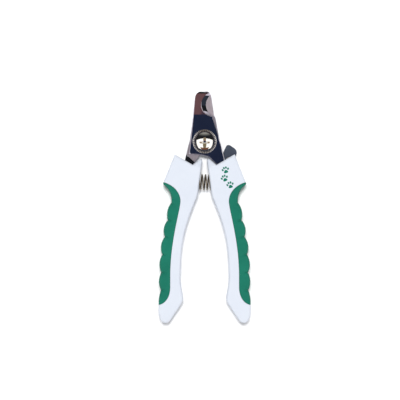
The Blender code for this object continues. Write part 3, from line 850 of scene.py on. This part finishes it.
def wedge_cutter(side, lean, line, slope, outer_z, outward):
    """Wedge that grinds a facet into the outer face: from a plan line it falls to the left of travel."""
    (x0, y0), (x1, y1) = line
    run = Vector((x1 - x0, y1 - y0)).normalized()
    left = Vector((-run.y, run.x))
    before = 0.4
    reach = 40.0
    above = 4.0
    section = [(-before, before * slope), (reach, -reach * slope), (reach, above), (-before, above)]
    bm = bmesh.new()
    ends = []
    for x, y in line:
        row = []
        for out, rise in section:
            place = turned_plan([(x + left.x * out, y + left.y * out)], lean)[0]
            row.append(bm.verts.new((side * place[0], place[1], outer_z + outward * rise)))
        ends.append(row)
    loft(bm, ends)
    return finish(bm, "cutter")


def blade_plate(side, plan, low, outer_z):
    """A blade's plate with both rims bevelled, the outer one wider, and its tang bent."""
    outline = sided(divided(plan, 0.8), side)
    rows = rim_rows(outline, RIM_BEVEL, (1.0,)) + rim_rows(outline, INNER_BEVEL, (1.0,))
    high = low + BLADE_THICKNESS
    top_bevel, low_bevel = (RIM_BEVEL, INNER_BEVEL) if outer_z > low else (INNER_BEVEL, RIM_BEVEL)

    def bevel(places, width):
        return np.maximum(width - line_distance(places, outline, True), 0.0)

    bm = slab(outline, rows, outline, lambda p: high - bevel(p, top_bevel),
              lambda p: low + bevel(p, low_bevel))
    bend_tang(bm, side, TANG_Z - low)
    return bm


def make_blade(name, body, side, lean, plan, low, outer_z, inner_z):
    """One blade: polished outside, ground satin inside and on its bevels."""
    outward = 1 if outer_z > inner_z else -1
    blade = finish(blade_plate(side, plan, low, outer_z), name + "_visual", sharp_deg=12.0)
    cutters = [notch_cutter(side, lean, outer_z, inner_z),
               rod((0.0, 0.0), SHANK_R + 0.1, 0.0, TOP_Z, 72)]
    cutters += [rod((side * x, y), PIN_ROOM_R, 0.0, TOP_Z) for x, y in TANG_PINS]
    for line, slope in ((TIP_FACET, TIP_FACET_SLOPE), (TIP_END, TIP_END_SLOPE),
                        (SIDE_FACET, SIDE_FACET_SLOPE)):
        cutters.append(wedge_cutter(side, lean, line, slope, outer_z, outward))
    carve(blade, cutters, sharp_deg=12.0)
    blade.data.materials.append(POLISHED)
    grind_faces(blade, side, lean, outward)
    settle(blade, body, "blade_steel", GROUND, name)


def grind_faces(blade, side, lean, outward):
    """Give the ground finish, the second material, to the inner face and to the fine bevels.

    x and y are places on a blade that doesn't lean; facing is 1 on the outer face, -1 on the inner."""
    for face in blade.data.polygons:
        x, y = turned_plan([(side * face.center.x, face.center.y)], -lean)[0]
        facing = face.normal.z * outward
        inner = facing < -0.97
        notch_chamfer = 15.0 < y < 31.0 and x > -3.6 and 0.84 < facing < 0.985
        side_facet = 3.0 < y < 18.6 and x > 3.0 and 0.6 < facing < 0.97
        in_notch = math.dist((x, y), NOTCH_CREST[:2]) < NOTCH_CREST[2] + 0.4
        notch_end = in_notch and 0.1 < facing < 0.72
        rim_bevel = 0.6 < facing < 0.8 and face.normal.y < 0.3 and not in_notch
        if inner or notch_chamfer or side_facet or notch_end or rim_bevel:
            face.material_index = 1


def make_blades():
    """The front blade in the right half, over the rear blade in the left half."""
    rear_plan = blade_outline((-9.4, -7.7), (3.6, -9.7), -BLADE_LEAN, REAR_LONGER)
    make_blade("rear_blade", "left_half", -1, -BLADE_LEAN, rear_plan, REAR_BLADE_Z, REAR_BLADE_Z,
               REAR_BLADE_Z + BLADE_THICKNESS)
    front_plan = blade_outline((-9.95, -8.0), (4.35, -11.5), 0.0, 0.0)
    make_blade("front_blade", "right_half", 1, 0.0, front_plan, FRONT_BLADE_Z,
               FRONT_BLADE_Z + BLADE_THICKNESS, FRONT_BLADE_Z)


# ---------------------------------------------------------------- pivot

def make_screw():
    """Screw with a domed head: a short straight side under a cap."""
    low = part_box("pivot_screw")[0].z / MM
    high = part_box("pivot_screw")[1].z / MM
    head_low = high - HEAD_HEIGHT
    cap_r = (DOME_R ** 2 + CAP_RISE ** 2) / (2 * CAP_RISE)
    rim_angle = math.asin(DOME_R / cap_r)
    dome = [(cap_r * math.sin(a), high - cap_r * (1 - math.cos(a)))
            for a in (rim_angle * (1 - i / 22) for i in range(22))]
    profile = [(0.0, low), (SHANK_R - 0.4, low), (SHANK_R, low + 0.4), (SHANK_R, head_low),
               (DOME_R - 0.1, head_low), (DOME_R, head_low + 0.1)] + dome + [(0.0, high)]
    screw = finish(revolve(profile, 96), "pivot_screw_visual")
    settle(screw, "left_half", "dome_chrome", DOME, "pivot_screw")


def make_ring():
    """Ring round the dome, with radial grooves between its rim and a trench at the dome."""
    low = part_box("pivot_ring")[0].z / MM
    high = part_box("pivot_ring")[1].z / MM
    bore = 3.3
    profile = [(bore, low), (RING_R - 0.15, low), (RING_R, low + 0.15), (RING_R, high - 0.42),
               (RING_R - 0.08, high - 0.3), (RING_R - 0.2, high - 0.26), (RING_R - 0.3, high - 0.26),
               (RING_R - 0.36, high - 0.24), (6.5, high - 0.16), (6.4, high - 0.16), (6.35, high - 0.5),
               (5.95, high - 0.5), (5.9, high - 0.1), (bore, high - 0.1)]
    grooved = (7, 8)      # the profile points at the two ends of a groove

    def groove(angle, index):
        cut = index in grooved and math.cos(RING_GROOVES * angle) > -0.1
        return -RING_GROOVE_DEPTH if cut else 0.0

    ring = finish(revolve(profile, RING_GROOVES * 10, groove), "pivot_ring_visual", sharp_deg=40.0)
    ring.data.materials.append(RING)
    # Faces down in the grooves and in the trench at the dome take the near-black second material: painted
    # shade.
    for face in ring.data.polygons:
        reach = math.hypot(face.center.x, face.center.y)
        if 5.9 < reach < RING_R - 0.3 and face.center.z < high - 0.3:
            face.material_index = 1
    settle(ring, "left_half", "ring_steel", PAINTED_GROOVE_SHADE, "pivot_ring")


# ---------------------------------------------------------------- spring

def make_spring():
    """Round-wire compression spring along X, each end turn laid flat."""
    steps_per_turn = 48
    wire_sides = 12
    steps = round(SPRING_TURNS * steps_per_turn)
    flat_pitch = 2.1 * SPRING_WIRE_R
    reach = SPRING_HALF - SPRING_WIRE_R - 0.05
    length = 2 * reach - flat_pitch
    bm = bmesh.new()
    rings = []
    for step in range(steps + 1):
        turn = step / steps_per_turn
        share = min(max((turn - 0.5) / (SPRING_TURNS - 1.0), 0.0), 1.0)
        flat = flat_pitch * (min(turn, 0.5) + max(turn - SPRING_TURNS + 0.5, 0.0))
        angle = 2 * math.pi * turn
        outward = Vector((0.0, math.cos(angle), math.sin(angle)))
        middle = Vector((-reach + flat + share * length, SPRING_Y, MID_Z)) + outward * SPRING_R
        ring = []
        for side in range(wire_sides):
            around_wire = 2 * math.pi * side / wire_sides
            offset = outward * math.cos(around_wire) + Vector((1.0, 0.0, 0.0)) * math.sin(around_wire)
            ring.append(bm.verts.new(middle + offset * SPRING_WIRE_R))
        rings.append(ring)
    loft(bm, rings)
    spring = finish(bm, "return_spring_visual", sharp_deg=60.0)
    into_frame(spring)
    spring.data.materials.append(WIRE)
    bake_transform(spring)
    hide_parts("return_spring")


# ---------------------------------------------------------------- lever and print

def make_lever():
    """Thumb lever of the lock, both faces rounded at the rim."""
    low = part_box("lock_lever")[0].z / MM
    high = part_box("lock_lever")[1].z / MM
    round_r = 0.55
    outline = lever_outline()

    def fall(places):
        return rounded_fall(line_distance(places, outline, True), round_r)

    rows = rim_rows(outline, round_r) + grid_rows(outline, 0.8, round_r + 0.2)
    bm = slab(outline, rows, outline, lambda p: high - fall(p), lambda p: low + fall(p))
    lever = finish(bm, "lock_lever_visual", sharp_deg=50.0)
    carve(lever, [rod(LOCK, LEVER_HOLE_R, 0.0, TOP_Z, 56)], sharp_deg=50.0)
    settle(lever, "lock_lever", "lever_dark", SLATE, "lock_lever")


def pad(bm, centre, angle, outline):
    """One pad of a paw print: a thin plate let into the face, its edge sloped."""
    c = math.cos(angle)
    s = math.sin(angle)
    rings = []
    for scale, height in ((1.0, FACE_Z - 0.15), (1.0, FACE_Z + PRINT_RISE * 0.4), (0.93, TOP_Z - 0.001)):
        rings.append([bm.verts.new((centre[0] + scale * (x * c - y * s), centre[1] + scale * (x * s + y * c),
                                    height)) for x, y in outline])
    loft(bm, rings)


def paw(bm, centre, angle_deg, size):
    """A generic paw print: four toes over one lobed pad."""
    angle = math.radians(angle_deg)
    c = math.cos(angle)
    s = math.sin(angle)
    toes = ((-0.66, 0.22, 24.0), (-0.25, 0.62, 8.0), (0.25, 0.62, -8.0), (0.66, 0.22, -24.0))
    for x, y, tilt in toes:
        place = (centre[0] + size * (x * c - y * s), centre[1] + size * (x * s + y * c))
        oval = [(0.21 * size * math.cos(a), 0.29 * size * math.sin(a))
                for a in (2 * math.pi * i / 28 for i in range(28))]
        pad(bm, place, angle + math.radians(tilt), oval)
    lobed = []
    for i in range(48):
        a = 2 * math.pi * i / 48
        radius = size * (0.44 + 0.055 * math.cos(3 * (a - math.pi / 2)))
        lobed.append((1.12 * radius * math.cos(a), 0.86 * radius * math.sin(a)))
    place = (centre[0] + size * 0.33 * s, centre[1] - size * 0.33 * c)
    pad(bm, place, angle, lobed)


def make_print():
    """Paw prints that walk up the right handle, in place of a printed name."""
    bm = bmesh.new()
    for centre, angle in PAWS:
        paw(bm, centre, angle, PAW_SIZE)
    made = finish(bm, "paw_prints")
    settle(made, "right_half", "grip_green", PRINT)


def dress_cad_nodes():
    """Procedural steel on the CAD nodes that stay."""
    for node in frame["nodes"].values():
        if not node.hide_render:
            for slot in node.material_slots:
                slot.material = FASTENER


# ---------------------------------------------------------------- stage, light, camera

FLOOR_SIZE = 6.0
CAMERA_AIM = (-3.0, -37.8)        # plan point under the camera
CAMERA_DISTANCE = 1.5
FRAME_WIDTH = 257.6               # of the object's front plane, across the picture


def make_floor():
    """White sheet under the trimmer, part of the stage."""
    bm = bmesh.new()
    half = FLOOR_SIZE / 2
    bm.faces.new([bm.verts.new((x, y, 0.0)) for x, y in ((-half, -half), (half, -half), (half, half),
                                                         (-half, half))])
    mesh = bpy.data.meshes.new("floor")
    bm.to_mesh(mesh)
    bm.free()
    floor = bpy.data.objects.new("floor", mesh)
    bpy.context.scene.collection.objects.link(floor)
    made = Surface("floor", 0.9)
    made.shader.inputs["Base Color"].default_value = (0.93, 0.93, 0.93, 1.0)
    made.shader.inputs["Specular IOR Level"].default_value = 0.0
    mesh.materials.append(made.material)


# Studio seen in polished steel. A light panel overhead ends at PANEL_TIP towards the tips and at
# PANEL_ROUND elsewhere; both are how far sideways per step up. Beyond its edge towards the tips the room
# is dark, and brighter again down at the horizon: ROOM gives its colours by how far a direction leans.
PANEL = (1.25, 1.23, 1.20)
PANEL_TIP = 0.45
PANEL_ROUND = 2.3
ROOM = ((0.0, (0.016, 0.017, 0.020)), (0.69, (0.016, 0.017, 0.020)), (0.82, (0.14, 0.14, 0.133)),
        (1.0, (0.40, 0.40, 0.38)))
SIDE_WALL = (0.040, 0.048, 0.064)
# Camera and stand in front of the panel: half width, lowest and highest place along Y, colour
CLUTTER = ((0.26, -1.20, -0.14, (0.22, 0.18, 0.11)),
           (1.00, -2.30, -1.20, (0.17, 0.065, 0.035)),
           (0.20, 0.14, 0.62, (0.26, 0.21, 0.14)),
           (0.85, -0.30, -0.02, (0.30, 0.22, 0.16)),
           (0.42, -0.24, -0.08, (0.85, 0.83, 0.78)),
           (0.18, 0.072, 0.15, (0.21, 0.10, 0.10)),          # seen in the facet at the tip
           (0.18, -0.16, 0.072, (0.020, 0.028, 0.060)))      # seen in the flat of the blade
FILL = (0.55, 0.55, 0.565)         # what matt surfaces see of the panel, and of the room beyond it
ROOM_FILL = (0.10, 0.10, 0.105)


def make_world():
    """Even fill for matt surfaces, and a bright panel in a dark room for polished ones."""
    world = bpy.data.worlds.new("studio")
    bpy.context.scene.world = world
    world.use_nodes = True
    tree = world.node_tree

    def maths(operation, *values):
        node = tree.nodes.new("ShaderNodeMath")
        node.operation = operation
        for socket, value in zip(node.inputs, values):
            if isinstance(value, float):
                socket.default_value = value
            else:
                tree.links.new(value, socket)
        return node.outputs[0]

    split = tree.nodes.new("ShaderNodeSeparateXYZ")
    tree.links.new(tree.nodes.new("ShaderNodeTexCoord").outputs["Generated"], split.inputs["Vector"])
    up = maths("MAXIMUM", split.outputs["Z"], 0.03)
    across = maths("DIVIDE", maths("ABSOLUTE", split.outputs["X"]), up)
    along = maths("DIVIDE", split.outputs["Y"], up)

    def rectangle(half_width, low, high):
        """1 on a rectangle overhead, otherwise 0."""
        past_low = maths("GREATER_THAN", along, low)
        short_of_high = maths("LESS_THAN", along, high)
        return maths("MULTIPLY", maths("LESS_THAN", across, half_width),
                     maths("MULTIPLY", past_low, short_of_high))

    room = tree.nodes.new("ShaderNodeValToRGB")
    tree.links.new(split.outputs["Y"], room.inputs["Fac"])
    stops = room.color_ramp.elements
    for number, (where, colour) in enumerate(ROOM):
        stop = stops[number] if number < 2 else stops.new(where)
        stop.position = where
        stop.color = (*colour, 1.0)
    before_edge = maths("LESS_THAN", along, PANEL_TIP)
    seen = mix_colours(tree, before_edge, room.outputs["Color"], SIDE_WALL)
    seen = mix_colours(tree, rectangle(PANEL_ROUND, -PANEL_ROUND, PANEL_TIP), seen, PANEL)
    for half_width, low, high, colour in CLUTTER:
        seen = mix_colours(tree, rectangle(half_width, low, high), seen, colour)
    glossy = tree.nodes.new("ShaderNodeLightPath").outputs["Is Glossy Ray"]
    fill = mix_colours(tree, before_edge, ROOM_FILL, FILL)
    tree.links.new(mix_colours(tree, glossy, fill, seen), tree.nodes["Background"].inputs["Color"])


def make_light():
    """One soft lamp overhead, a little towards the tips."""
    lamp = bpy.data.lights.new("overhead", "SUN")
    lamp.energy = 2.86
    lamp.angle = math.radians(13.0)
    made = bpy.data.objects.new("overhead", lamp)
    made.rotation_euler = Vector((-0.01, 0.21, 1.0)).to_track_quat("Z", "Y").to_euler()
    made.visible_glossy = False
    bpy.context.scene.collection.objects.link(made)


def make_camera():
    """Camera straight above, far off, so that it hardly shows any perspective."""
    camera = bpy.data.cameras.new("camera")
    camera.sensor_width = 36.0
    camera.lens = 36.0 * CAMERA_DISTANCE / (FRAME_WIDTH * MM)
    made = bpy.data.objects.new("camera", camera)
    made.location = (PIVOT.x + CAMERA_AIM[0] * MM, PIVOT.y + CAMERA_AIM[1] * MM,
                     CAMERA_DISTANCE + TOP_Z * MM)
    bpy.context.scene.collection.objects.link(made)
    bpy.context.scene.camera = made
    bpy.context.scene.view_settings.view_transform = "Standard"


SILHOUETTE = handle_silhouette()
make_handles()
make_blades()
make_screw()
make_ring()
make_spring()
make_lever()
make_print()
dress_cad_nodes()
make_floor()
make_world()
make_light()
make_camera()
